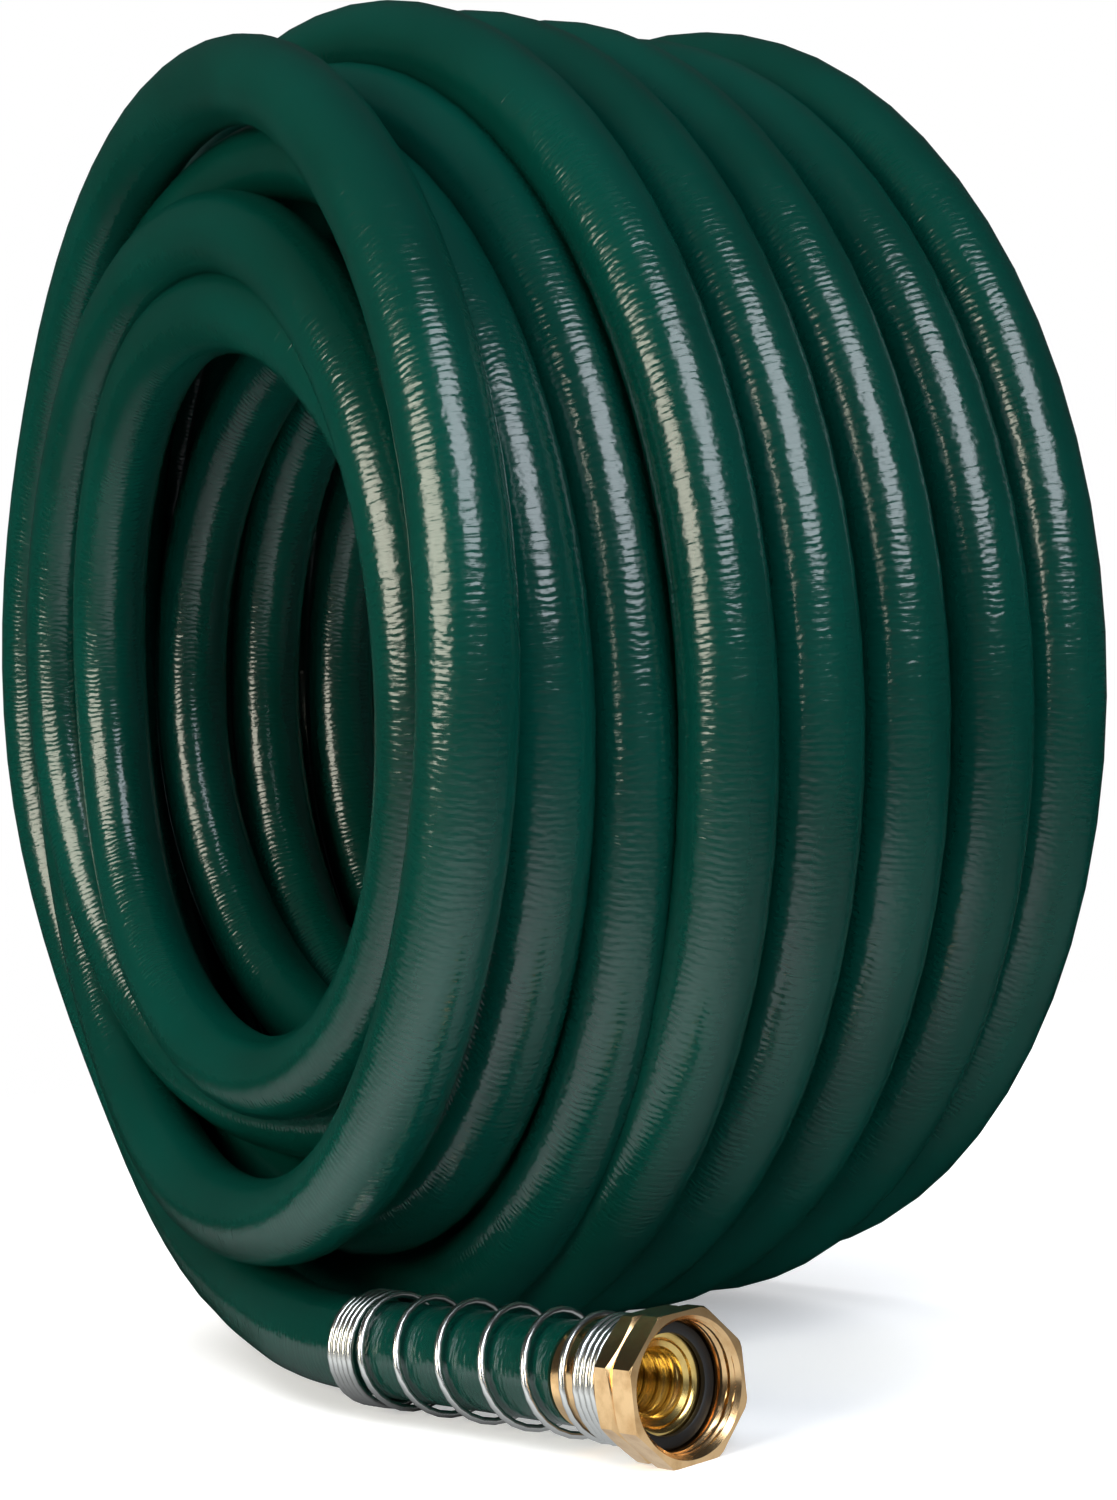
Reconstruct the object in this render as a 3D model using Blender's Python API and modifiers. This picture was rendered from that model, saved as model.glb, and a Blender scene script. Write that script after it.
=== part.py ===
"""Garden hose wound into a coil that stands on its rim, with brass couplings on both ends.

The coil's axis lies along Y and its near face looks towards -Y. The lead end leaves the near
face, runs along the ground towards +X and carries the swivelling nut. The other end lies in the
far mouth of the coil's bore. Lengths are in metres and angles in degrees.
"""

import math

import bmesh
import bpy
from mathutils import Matrix, Vector

# Hose and coil
HOSE_DIAMETER = 0.0210
LAYER_RADIUS = 0.1622  # centre line of the outer layer's turns
BORE_LAYER_RADIUS = 0.100  # centre line of the innermost layer's turns
TURN_PITCH = 0.0215
BORE_TURN_PITCH = 0.0245
OUTER_TURNS = 5
BORE_TURNS = 4
FIRST_OUTER_Y = -0.0083  # nearest of the full-width turns
FIRST_BORE_Y = -0.0253
COIL_STEPS = 64
SCALLOP_STEPS = 3

# Turns that show on the near and far ends, as (how far inside the outer layer, distance along the axis)
NEAR_END_TURNS = (
    (0.0042, -0.0298),
    (0.0242, -0.0400),
    (0.0402, -0.0520),
    (0.0562, -0.0600),
    (0.0622, -0.0480),
)
FAR_END_TURNS = ((0.0192, 0.0827),)
LAST_TURN_Y = 0.0740  # inner end's place beside the bore layer

# Lead end: one loose turn on the coil's near end, as (angle, how far inside the outer layer, how
# far it stands off the turns behind it). The angle starts at the ground and grows over the left side.
LOOSE_TURN = (
    (30, 0.0007, 0.0182),
    (60, 0.0042, 0.0119),
    (90, 0.0097, 0.0034),
    (135, 0.0117, 0.0018),
    (180, 0.0122, 0.0024),
    (225, 0.0117, 0.0093),
    (270, 0.0112, 0.0136),
    (315, 0.0152, 0.0147),
    (340, 0.0192, 0.0161),
    (362, 0.0222, 0.0154),
    (382, 0.0282, 0.0110),
    (400, 0.0332, 0.0099),
)
LOOSE_TURN_LEAD_IN = (
    (-0.0250, -0.0712, 0.0122),
    (0.0200, -0.0695, 0.0114),
)
LEAD_POINT_SPACING = 0.044

# Inner end, which lies in the bore's far mouth and ends straight down, as (angle, how far it stands
# off the turn round it)
INNER_END = (
    (110, 0.0),
    (150, 0.0),
    (184, 0.0),
    (210, 0.0006),
    (240, 0.0040),
    (263.4, 0.0080),
)
INNER_END_OFFSET = 0.0089  # from the bore layer's radius to the straight end
INNER_POINT_SPACING = 0.016

# Lead end fittings, in line from the end of the hose
CLEARANCE = 0.0003
LEAD_END_X = 0.1381
LEAD_END_Y = -0.0537
LEAD_HEADING = 7.5  # from +X towards +Y
COLLAR_LENGTH = 0.0182
COLLAR_PLAY = 0.0002  # from the hose's surface out to the collar's
STEM_RADIUS = 0.0075
STEM_BORE_RADIUS = 0.0058
STEM_FLANGE_RADIUS = 0.0112
STEM_FLANGE_THICKNESS = 0.0016
NUT_ACROSS_FLATS = 0.0290
NUT_SIDES = 8
NUT_FRONT_LENGTH = 0.0076
NUT_REAR_LENGTH = 0.0044
NUT_REAR_ACROSS_FLATS = 0.0268
NUT_BACK_WALL = 0.0018
NUT_SOCKET_RADIUS = 0.0122
NUT_CHAMFER = 0.0010
WASHER_THICKNESS = 0.0024
WASHER_BORE_RADIUS = 0.0078

# Kink guard spring
WIRE_DIAMETER = 0.0016
SPRING_PLAY = 0.0009  # between the wire and the hose
SPRING_REAR_TURNS = 4
SPRING_OPEN_TURNS = 6
SPRING_FRONT_TURNS = 5
SPRING_OPEN_PITCH = 0.0130
SPRING_POINTS_PER_TURN = 11

# Inner end fittings
MALE_BODY_ACROSS_FLATS = 0.0262
MALE_BODY_LENGTH = 0.0080
MALE_THREAD_RADIUS = 0.0130
MALE_THREAD_LENGTH = 0.0150
MALE_BORE_RADIUS = 0.0062
MALE_COLLAR_LENGTH = 0.0170

HOSE_RADIUS = HOSE_DIAMETER / 2
COIL_RADIUS = LAYER_RADIUS + HOSE_RADIUS
AXIS_HEIGHT = COIL_RADIUS
LEAD_AXIS_Z = NUT_ACROSS_FLATS / 2
COLLAR_RADIUS = HOSE_RADIUS + COLLAR_PLAY
SPRING_RADIUS = HOSE_RADIUS + SPRING_PLAY + WIRE_DIAMETER / 2  # centre line of the wire
CUTTER_OVERRUN = 0.002
ROUND_STEPS = 36

SPRING_TIGHT_PITCH = WIRE_DIAMETER + CLEARANCE


def clear_scene():
    for obj in list(bpy.data.objects):
        bpy.data.objects.remove(obj, do_unlink=True)


def new_collection(name):
    collection = bpy.data.collections.new(name)
    bpy.context.scene.collection.children.link(collection)
    return collection


def new_material(name, colour, roughness, metallic):
    material = bpy.data.materials.new(name)
    material.use_nodes = True
    material.diffuse_color = (*colour, 1.0)
    shader = material.node_tree.nodes["Principled BSDF"]
    shader.inputs["Base Color"].default_value = (*colour, 1.0)
    shader.inputs["Roughness"].default_value = roughness
    shader.inputs["Metallic"].default_value = metallic
    return material


def smooth(mesh, angle=35):
    mesh.shade_smooth()
    mesh.set_sharp_from_angle(angle=math.radians(angle))


def link_part(name, mesh, material, matrix=None):
    obj = bpy.data.objects.new(name, mesh)
    obj.data.materials.clear()
    obj.data.materials.append(material)
    obj.matrix_world = matrix or Matrix()
    parts.objects.link(obj)
    return obj


def evaluated_mesh(obj):
    """The object's mesh with its modifiers applied, and the object removed."""
    bpy.context.view_layer.update()
    graph = bpy.context.evaluated_depsgraph_get()
    mesh = bpy.data.meshes.new_from_object(obj.evaluated_get(graph))
    bpy.data.objects.remove(obj, do_unlink=True)
    return mesh


def turned(name, profile, steps, closed=False):
    """A profile of (radius, height) points turned about Z by a Screw modifier."""
    mesh = bpy.data.meshes.new(name)
    count = len(profile)
    edges = [(i, i + 1) for i in range(count - 1)]
    if closed:
        edges.append((count - 1, 0))
    mesh.from_pydata([(radius, 0, height) for radius, height in profile], edges, [])
    obj = bpy.data.objects.new(name, mesh)
    parts.objects.link(obj)
    screw = obj.modifiers.new("turn", "SCREW")
    screw.axis = "Z"
    screw.steps = steps
    screw.render_steps = steps
    screw.use_merge_vertices = True
    screw.merge_threshold = 0.00001
    result = evaluated_mesh(obj)
    result.name = name
    return result


def facing_out(mesh):
    """Turns a closed mesh's faces outwards."""
    shape = bmesh.new()
    shape.from_mesh(mesh)
    bmesh.ops.remove_doubles(shape, verts=shape.verts, dist=0.000001)
    bmesh.ops.recalc_face_normals(shape, faces=shape.faces)
    shape.to_mesh(mesh)
    shape.free()
    return mesh


def on_lead(distance):
    """Lays a piece turned about Z, with its mouth up, on the lead's axis this far past the hose's end."""
    start = Matrix.Translation((LEAD_END_X, LEAD_END_Y, LEAD_AXIS_Z))
    heading = Matrix.Rotation(math.radians(LEAD_HEADING), 4, "Z")
    return start @ heading @ Matrix.Rotation(math.pi / 2, 4, "Y") @ Matrix.Translation((0, 0, distance))


def on_coil(angle, radius, y):
    """The point at an angle round the coil, counted from the ground over the left side."""
    turn = math.radians(angle)
    return Vector((-radius * math.sin(turn), y, AXIS_HEIGHT - radius * math.cos(turn)))


def smooth_route(points, spacing):
    """Points at an even spacing along a smooth curve through the given points."""
    ends = [2 * points[0] - points[1], *points, 2 * points[-1] - points[-2]]
    fine = []
    for before, start, end, after in zip(ends, ends[1:], ends[2:], ends[3:]):
        for step in range(24):
            t = step / 24
            fine.append(
                0.5
                * (
                    2 * start
                    + (end - before) * t
                    + (2 * before - 5 * start + 4 * end - after) * t**2
                    + (3 * start - before - 3 * end + after) * t**3
                )
            )
    fine.append(points[-1])
    walked = [0.0]
    for a, b in zip(fine, fine[1:]):
        walked.append(walked[-1] + (b - a).length)
    count = max(2, round(walked[-1] / spacing))
    route = []
    index = 0
    for step in range(count + 1):
        distance = walked[-1] * step / count
        while index < len(fine) - 2 and walked[index + 1] < distance:
            index += 1
        share = (distance - walked[index]) / (walked[index + 1] - walked[index])
        route.append(fine[index].lerp(fine[index + 1], min(share, 1.0)))
    return route


def tube(name, route, radius, material, bevel_resolution):
    curve = bpy.data.curves.new(name, "CURVE")
    curve.dimensions = "3D"
    curve.bevel_depth = radius
    curve.bevel_resolution = bevel_resolution
    curve.use_fill_caps = True
    spline = curve.splines.new("POLY")
    spline.points.add(len(route) - 1)
    for point, place in zip(spline.points, route):
        point.co = (*place, 1.0)
    spline.use_smooth = True
    curve.materials.append(material)
    obj = bpy.data.objects.new(name, curve)
    parts.objects.link(obj)
    return obj


def polygon_prism(name, across_flats, sides, bottom, top):
    """An upright prism that stands on a flat when its axis is laid along X."""
    corner_radius = across_flats / 2 / math.cos(math.pi / sides)
    shape = bmesh.new()
    bmesh.ops.create_cone(
        shape,
        cap_ends=True,
        segments=sides,
        radius1=corner_radius,
        radius2=corner_radius,
        depth=top - bottom,
        matrix=Matrix.Translation((0, 0, (top + bottom) / 2)) @ Matrix.Rotation(math.pi / sides, 4, "Z"),
    )
    mesh = bpy.data.meshes.new(name)
    shape.to_mesh(mesh)
    shape.free()
    obj = bpy.data.objects.new(name, mesh)
    parts.objects.link(obj)
    return obj


def helper(name, mesh):
    """An object that only cuts or joins, left out of the renders."""
    obj = bpy.data.objects.new(name, mesh)
    obj.hide_render = True
    obj.display_type = "WIRE"
    cutters.objects.link(obj)
    return obj


def boolean(obj, other, operation):
    modifier = obj.modifiers.new(operation.lower(), "BOOLEAN")
    modifier.operation = operation
    modifier.object = other
    modifier.solver = "EXACT"


def arc(centre, start, end, steps):
    """Points on the hose's round outline about a centre given as (radius, height)."""
    points = []
    for step in range(steps + 1):
        angle = math.radians(start + (end - start) * step / steps)
        points.append((centre[0] + HOSE_RADIUS * math.cos(angle), centre[1] + HOSE_RADIUS * math.sin(angle)))
    return points


def end_turns(turns):
    """The turns on one end as (radius, distance along the axis)."""
    return [(LAYER_RADIUS - inset, y) for inset, y in turns]


def resting_y(radius):
    """Where a strand of this radius lies when it rests on the near end's turns."""
    reach = HOSE_DIAMETER + CLEARANCE
    rests = []
    for turn_radius, y in [(LAYER_RADIUS, FIRST_OUTER_Y), *end_turns(NEAR_END_TURNS)]:
        apart = abs(radius - turn_radius)
        if apart < reach:
            rests.append(y - math.sqrt(reach**2 - apart**2))
    return min(rests)


def coil_profile():
    """The coil's section: the outline of a bundle of turns, from the far outer turn round to it again."""
    outer = [
        (LAYER_RADIUS, FIRST_OUTER_Y + TURN_PITCH * turn) for turn in reversed(range(OUTER_TURNS))
    ]
    inner = [(BORE_LAYER_RADIUS, FIRST_BORE_Y + BORE_TURN_PITCH * turn) for turn in range(BORE_TURNS)]
    around_inner_end = (BORE_LAYER_RADIUS + HOSE_DIAMETER, LAST_TURN_Y)
    ring = [*outer, *end_turns(NEAR_END_TURNS), *inner, around_inner_end, *end_turns(FAR_END_TURNS)]
    profile = []
    count = len(ring)
    for index, centre in enumerate(ring):
        before = ring[index - 1]
        after = ring[(index + 1) % count]
        start = contact_angle(centre, before, -1)
        end = contact_angle(centre, after, 1)
        while end > start:
            end -= 360
        profile.extend(arc(centre, start, end, SCALLOP_STEPS))
    return profile


def contact_angle(centre, neighbour, side):
    """Where the outline leaves one turn for its neighbour, in degrees."""
    across = neighbour[0] - centre[0]
    along = neighbour[1] - centre[1]
    distance = math.hypot(across, along)
    facing = math.degrees(math.atan2(along, across))
    opening = math.degrees(math.acos(min(1.0, distance / 2 / HOSE_RADIUS)))
    return facing + side * max(opening, 18.0)


def build_coil():
    profile = coil_profile()
    mesh = facing_out(turned("hose_coil", profile, COIL_STEPS, closed=True))
    smooth(mesh)
    # The turned piece's axis goes from Z to Y, and its near end from below to -Y
    place = Matrix.Translation((0, 0, AXIS_HEIGHT)) @ Matrix.Rotation(-math.pi / 2, 4, "X")
    flip = Matrix.Rotation(math.pi / COIL_STEPS, 4, "Z")
    link_part("hose_coil", mesh, hose_vinyl, place @ flip)


def build_lead():
    points = [on_lead(distance).translation for distance in (0, spring_back() / 2, spring_back())]
    points += [Vector(place) for place in reversed(LOOSE_TURN_LEAD_IN)]
    for angle, inset, stand_off in LOOSE_TURN:
        radius = LAYER_RADIUS - inset
        points.append(on_coil(angle, radius, resting_y(radius) - stand_off))
    tube("hose_lead", smooth_route(points, LEAD_POINT_SPACING), HOSE_RADIUS, hose_vinyl, 3)


def nut_back():
    """How far past the hose's end the nut's back lies."""
    return 2 * CLEARANCE + COLLAR_LENGTH


def spring_front():
    return nut_back() - CLEARANCE - WIRE_DIAMETER / 2


def spring_back():
    tight_turns = SPRING_REAR_TURNS + SPRING_FRONT_TURNS
    return spring_front() - tight_turns * SPRING_TIGHT_PITCH - SPRING_OPEN_TURNS * SPRING_OPEN_PITCH


def build_spring():
    stretches = (
        (SPRING_FRONT_TURNS, SPRING_TIGHT_PITCH),
        (SPRING_OPEN_TURNS, SPRING_OPEN_PITCH),
        (SPRING_REAR_TURNS, SPRING_TIGHT_PITCH),
    )
    distance = spring_front()
    route = []
    angle = 0.0
    for turns, pitch in stretches:
        for _ in range(turns * SPRING_POINTS_PER_TURN):
            around = Vector((SPRING_RADIUS * math.cos(angle), SPRING_RADIUS * math.sin(angle), 0))
            route.append(on_lead(distance) @ around)
            distance -= pitch / SPRING_POINTS_PER_TURN
            angle += 2 * math.pi / SPRING_POINTS_PER_TURN
    tube("kink_guard_spring", route, WIRE_DIAMETER / 2, spring_steel, 2)


def sleeve_profile(outer, inner, bottom, top):
    return [(outer, top), (outer, bottom), (inner, bottom), (inner, top)]


def build_collar():
    profile = sleeve_profile(COLLAR_RADIUS, STEM_RADIUS + CLEARANCE, 0, COLLAR_LENGTH)
    mesh = facing_out(turned("crimp_collar", profile, ROUND_STEPS, closed=True))
    smooth(mesh)
    link_part("crimp_collar", mesh, brass, on_lead(CLEARANCE))


def build_stem():
    flange_bottom = nut_back() + NUT_BACK_WALL
    flange_top = flange_bottom + STEM_FLANGE_THICKNESS
    profile = [
        (STEM_FLANGE_RADIUS, flange_top),
        (STEM_FLANGE_RADIUS, flange_bottom),
        (STEM_RADIUS, flange_bottom),
        (STEM_RADIUS, 0),
        (STEM_BORE_RADIUS, 0),
        (STEM_BORE_RADIUS, flange_top),
    ]
    mesh = facing_out(turned("coupling_stem", profile, ROUND_STEPS, closed=True))
    smooth(mesh)
    link_part("coupling_stem", mesh, brass, on_lead(CLEARANCE))


def build_nut():
    length = NUT_REAR_LENGTH + NUT_FRONT_LENGTH
    front = polygon_prism("nut_front", NUT_ACROSS_FLATS, NUT_SIDES, NUT_REAR_LENGTH, length)
    rear = polygon_prism("nut_rear", NUT_REAR_ACROSS_FLATS, NUT_SIDES, 0, NUT_REAR_LENGTH + CUTTER_OVERRUN)
    corner_radius = NUT_ACROSS_FLATS / 2 / math.cos(math.pi / NUT_SIDES)
    lathe = [
        (corner_radius - NUT_CHAMFER, length + CUTTER_OVERRUN),
        (corner_radius - NUT_CHAMFER, length),
        (corner_radius + NUT_CHAMFER, length - NUT_CHAMFER),
        (corner_radius + NUT_CHAMFER, -CUTTER_OVERRUN),
    ]
    envelope = [(0, length + CUTTER_OVERRUN), *lathe, (0, -CUTTER_OVERRUN)]
    hollow = [
        (0, length + CUTTER_OVERRUN),
        (NUT_SOCKET_RADIUS + NUT_CHAMFER + CUTTER_OVERRUN, length + CUTTER_OVERRUN),
        (NUT_SOCKET_RADIUS, length - NUT_CHAMFER),
        (NUT_SOCKET_RADIUS, NUT_BACK_WALL),
        (STEM_RADIUS + CLEARANCE, NUT_BACK_WALL),
        (STEM_RADIUS + CLEARANCE, -CUTTER_OVERRUN),
        (0, -CUTTER_OVERRUN),
    ]
    rear_cutter = helper("nut_rear_joined", evaluated_mesh(rear))
    boolean(front, rear_cutter, "UNION")
    chamfer = helper("nut_chamfer", facing_out(turned("nut_chamfer", envelope, ROUND_STEPS)))
    socket = helper("nut_socket", facing_out(turned("nut_socket", hollow, ROUND_STEPS)))
    boolean(front, chamfer, "INTERSECT")
    boolean(front, socket, "DIFFERENCE")
    mesh = evaluated_mesh(front)
    smooth(mesh, 20)
    link_part("coupling_nut", mesh, brass, on_lead(nut_back()))


def build_washer():
    bottom = NUT_BACK_WALL + STEM_FLANGE_THICKNESS + 2 * CLEARANCE
    outer = NUT_SOCKET_RADIUS - CLEARANCE
    profile = sleeve_profile(outer, WASHER_BORE_RADIUS, bottom, bottom + WASHER_THICKNESS)
    mesh = facing_out(turned("rubber_washer", profile, ROUND_STEPS, closed=True))
    smooth(mesh)
    link_part("rubber_washer", mesh, rubber, on_lead(nut_back()))


def build_inner_end():
    radius = BORE_LAYER_RADIUS - CLEARANCE
    points = [on_coil(angle, radius - stand_off, LAST_TURN_Y) for angle, stand_off in INNER_END]
    end = Vector((BORE_LAYER_RADIUS - INNER_END_OFFSET, LAST_TURN_Y, AXIS_HEIGHT))
    route = smooth_route(points, INNER_POINT_SPACING)
    tube("hose_inner_end", [*route, end], HOSE_RADIUS, hose_vinyl, 3)
    place = Matrix.Translation(end - Vector((0, 0, CLEARANCE))) @ Matrix.Rotation(math.pi, 4, "X")
    profile = sleeve_profile(COLLAR_RADIUS, STEM_RADIUS + CLEARANCE, 0, MALE_COLLAR_LENGTH)
    collar = facing_out(turned("male_collar", profile, ROUND_STEPS, closed=True))
    smooth(collar)
    link_part("male_collar", collar, brass, place)
    body_bottom = MALE_COLLAR_LENGTH + CLEARANCE
    body_top = body_bottom + MALE_BODY_LENGTH
    body = polygon_prism("male_body", MALE_BODY_ACROSS_FLATS, NUT_SIDES, body_bottom, body_top)
    spigot = [
        (0, body_top + MALE_THREAD_LENGTH),
        (MALE_THREAD_RADIUS - NUT_CHAMFER, body_top + MALE_THREAD_LENGTH),
        (MALE_THREAD_RADIUS, body_top + MALE_THREAD_LENGTH - NUT_CHAMFER),
        (MALE_THREAD_RADIUS, body_bottom + CUTTER_OVERRUN),
        (STEM_RADIUS, body_bottom + CUTTER_OVERRUN),
        (STEM_RADIUS, 0),
        (0, 0),
    ]
    bore = [
        (0, body_top + MALE_THREAD_LENGTH + CUTTER_OVERRUN),
        (MALE_BORE_RADIUS, body_top + MALE_THREAD_LENGTH + CUTTER_OVERRUN),
        (MALE_BORE_RADIUS, -CUTTER_OVERRUN),
        (0, -CUTTER_OVERRUN),
    ]
    boolean(body, helper("male_spigot", facing_out(turned("male_spigot", spigot, ROUND_STEPS))), "UNION")
    boolean(body, helper("male_bore", facing_out(turned("male_bore", bore, ROUND_STEPS))), "DIFFERENCE")
    mesh = evaluated_mesh(body)
    smooth(mesh, 20)
    link_part("male_coupling", mesh, brass, place)


clear_scene()
parts = new_collection("garden_hose")
cutters = new_collection("cutters")
hose_vinyl = new_material("hose_vinyl", (0.004, 0.072, 0.050), 0.32, 0.0)
brass = new_material("brass", (0.72, 0.47, 0.20), 0.28, 1.0)
spring_steel = new_material("spring_steel", (0.62, 0.62, 0.61), 0.22, 1.0)
rubber = new_material("washer_rubber", (0.015, 0.015, 0.015), 0.6, 0.0)

build_coil()
build_lead()
build_spring()
build_collar()
build_stem()
build_nut()
build_washer()
build_inner_end()
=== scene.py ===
"""A garden hose wound into a coil that stands on its rim, seen in a pale studio.

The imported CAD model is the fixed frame, in metres with +Z up. The hose is one free cord, with a
swivelling brass coupling and a spring on its lead end and a male coupling in the coil's far mouth.
"""

import math

import bpy
from mathutils import Matrix, Vector


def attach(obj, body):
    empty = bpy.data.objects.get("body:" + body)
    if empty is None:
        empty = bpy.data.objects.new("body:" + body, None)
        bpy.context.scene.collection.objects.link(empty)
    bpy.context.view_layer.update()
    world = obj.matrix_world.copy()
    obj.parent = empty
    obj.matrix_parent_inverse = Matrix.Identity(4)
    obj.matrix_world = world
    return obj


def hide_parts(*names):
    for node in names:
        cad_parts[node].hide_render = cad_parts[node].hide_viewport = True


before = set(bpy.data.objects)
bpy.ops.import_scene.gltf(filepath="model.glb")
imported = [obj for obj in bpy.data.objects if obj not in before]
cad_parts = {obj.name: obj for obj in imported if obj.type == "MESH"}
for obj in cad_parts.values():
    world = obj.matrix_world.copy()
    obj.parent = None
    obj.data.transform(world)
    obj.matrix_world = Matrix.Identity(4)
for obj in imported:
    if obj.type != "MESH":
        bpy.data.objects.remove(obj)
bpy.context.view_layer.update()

# Camera: low and close on the coil's right front, so that the near face and the outer turns
# both show and the lead end points towards the viewer.
CAMERA_PLACE = (0.55968, -0.30840, 0.10808)
CAMERA_RIGHT = Vector((0.52081, 0.84731, -0.10407))
CAMERA_UP = Vector((0.11142, 0.05339, 0.99234))
FOCAL_PIXELS = 2399
LONG_SIDE_PIXELS = 1500
SENSOR_WIDTH = 36

camera_data = bpy.data.cameras.new("camera")
camera_data.sensor_width = SENSOR_WIDTH
camera_data.lens = FOCAL_PIXELS / LONG_SIDE_PIXELS * SENSOR_WIDTH
camera_data.clip_start = 0.01
camera = bpy.data.objects.new("camera", camera_data)
bpy.context.scene.collection.objects.link(camera)
camera_back = CAMERA_RIGHT.cross(CAMERA_UP)
camera.matrix_world = Matrix.Translation(CAMERA_PLACE) @ Matrix(
    (CAMERA_RIGHT, CAMERA_UP, camera_back)
).transposed().to_4x4()
bpy.context.scene.camera = camera


# Hose: reinforced vinyl tube, extruded in one length and wound on a drum. The lead runs along the
# ground into one loose turn on the near face, then the turns fill three layers and the near face,
# and the last turn ends in the bore's far mouth.
HOSE_DIAMETER = 0.0210
HOSE_BORE_RADIUS = 0.0078
HOSE_BORE_SEEN = 0.040
AXIS_HEIGHT = 0.1727
LEAD_END = Vector((0.1381, -0.0537, 0.0145))
RING_DEGREES = 5
LEAD_STEPS = 6
HOSE_SIDES = 28
SHARP_DEGREES = 50
LEAD_ROUTE = (
    (0.1381, -0.0537, 0.0145),
    (0.1000, -0.0587, 0.0145),
    (0.0620, -0.0637, 0.0145),
    (0.0330, -0.0642, 0.0150),
    (0.0040, -0.0602, 0.0168),
)
# Angle from the ground over the left side in degrees, radius, and distance along the coil's axis
TURNS = (
    (10, 0.1545, -0.0550), (26, 0.1565, -0.0490), (45, 0.1585, -0.0445),
    (90, 0.1600, -0.0490), (135, 0.1520, -0.0500), (180, 0.1500, -0.0560),
    (225, 0.1510, -0.0660), (270, 0.1515, -0.0713), (315, 0.1420, -0.0713),
    (360, 0.1330, -0.0640), (405, 0.1385, -0.0520), (450, 0.1394, -0.0470),
    (495, 0.1350, -0.0460), (540, 0.1310, -0.0440), (585, 0.1370, -0.0480),
    (630, 0.1430, -0.0498), (675, 0.1400, -0.0453), (720, 0.1350, -0.0360),
    (765, 0.1365, -0.0290), (810, 0.1385, -0.0262), (855, 0.1430, -0.0280),
    (900, 0.1465, -0.0310), (945, 0.1455, -0.0300), (990, 0.1430, -0.0283),
    (1035, 0.1515, -0.0275), (1080, 0.1590, -0.0270), (1125, 0.1610, -0.0255),
    (1170, 0.1620, -0.0250), (1260, 0.1620, -0.0227), (1350, 0.1622, -0.0173),
    (1440, 0.1620, -0.0110), (1530, 0.1620, -0.0050), (1710, 0.1622, 0.0054),
    (1890, 0.1620, 0.0170), (2070, 0.1620, 0.0293), (2430, 0.1600, 0.0556),
    (2790, 0.1622, 0.0763), (2840, 0.1595, 0.0770), (2900, 0.1490, 0.0775),
    (2970, 0.1390, 0.0775), (3060, 0.1325, 0.0760), (4140, 0.1310, -0.0090),
    (4230, 0.1225, -0.0190), (4275, 0.1185, -0.0290), (4320, 0.1115, -0.0370),
    (4365, 0.1185, -0.0480), (4410, 0.1200, -0.0547), (4455, 0.1175, -0.0560),
    (4500, 0.1155, -0.0570), (4545, 0.1110, -0.0590), (4590, 0.1065, -0.0580),
    (4635, 0.1020, -0.0550), (4680, 0.0990, -0.0540), (4725, 0.0990, -0.0520),
    (4770, 0.0995, -0.0482), (4815, 0.0980, -0.0510), (4860, 0.0955, -0.0560),
    (4905, 0.0955, -0.0530), (4950, 0.0960, -0.0450), (4995, 0.0980, -0.0320),
    (5040, 0.0988, -0.0215), (5130, 0.1000, -0.0232), (5220, 0.1000, -0.0150),
    (5310, 0.1000, -0.0085), (5490, 0.1000, 0.0007), (5850, 0.1000, 0.0257),
    (6210, 0.1000, 0.0497), (6420, 0.0998, 0.0640), (6590, 0.0997, 0.0740),
    (6630, 0.0997, 0.0740), (6664, 0.0997, 0.0740), (6690, 0.0991, 0.0740),
    (6720, 0.0957, 0.0740), (6743.4, 0.0917, 0.0740),
)
INNER_END = Vector((0.0911, 0.0740, 0.1727))


def smooth_stations(stations, step):
    """Rows on a smooth curve through the stations, at an even step of their first value."""
    keys = [station[0] for station in stations]
    rates = []
    for index, here in enumerate(stations):
        low, high = max(index - 1, 0), min(index + 1, len(stations) - 1)
        before, after = keys[index] - keys[low], keys[high] - keys[index]
        rate = []
        for part in range(1, len(here)):
            rise = (here[part] - stations[low][part]) / before if before else None
            fall = (stations[high][part] - here[part]) / after if after else None
            if before and after:
                rate.append((rise * after + fall * before) / (before + after))
            else:
                rate.append(rise if before else fall)
        rates.append(rate)
    rows = []
    for index in range(len(stations) - 1):
        span = keys[index + 1] - keys[index]
        count = max(1, round(span / step))
        for part_step in range(count):
            t = part_step / count
            row = [keys[index] + span * t]
            for part in range(1, len(stations[index])):
                start, end = stations[index][part], stations[index + 1][part]
                leave, arrive = rates[index][part - 1] * span, rates[index + 1][part - 1] * span
                row.append(
                    (2 * t**3 - 3 * t**2 + 1) * start
                    + (t**3 - 2 * t**2 + t) * leave
                    + (3 * t**2 - 2 * t**3) * end
                    + (t**3 - t**2) * arrive
                )
            rows.append(row)
    rows.append(list(stations[-1]))
    return rows


def on_coil(angle, radius, y):
    """The place of one station of the turns."""
    turn = math.radians(angle)
    return Vector((-radius * math.sin(turn), y, AXIS_HEIGHT - radius * math.cos(turn)))


def smooth_points(points, steps):
    """A curve without corners through the points, with this many steps between two of them."""
    ends = [2 * points[0] - points[1], *points, 2 * points[-1] - points[-2]]
    fine = []
    for before, start, end, after in zip(ends, ends[1:], ends[2:], ends[3:]):
        for step in range(steps):
            t = step / steps
            bend = (2 * before - 5 * start + 4 * end - after) * t**2
            sway = (3 * start - before - 3 * end + after) * t**3
            fine.append(0.5 * (2 * start + (end - before) * t + bend + sway))
    fine.append(points[-1])
    return fine


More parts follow.
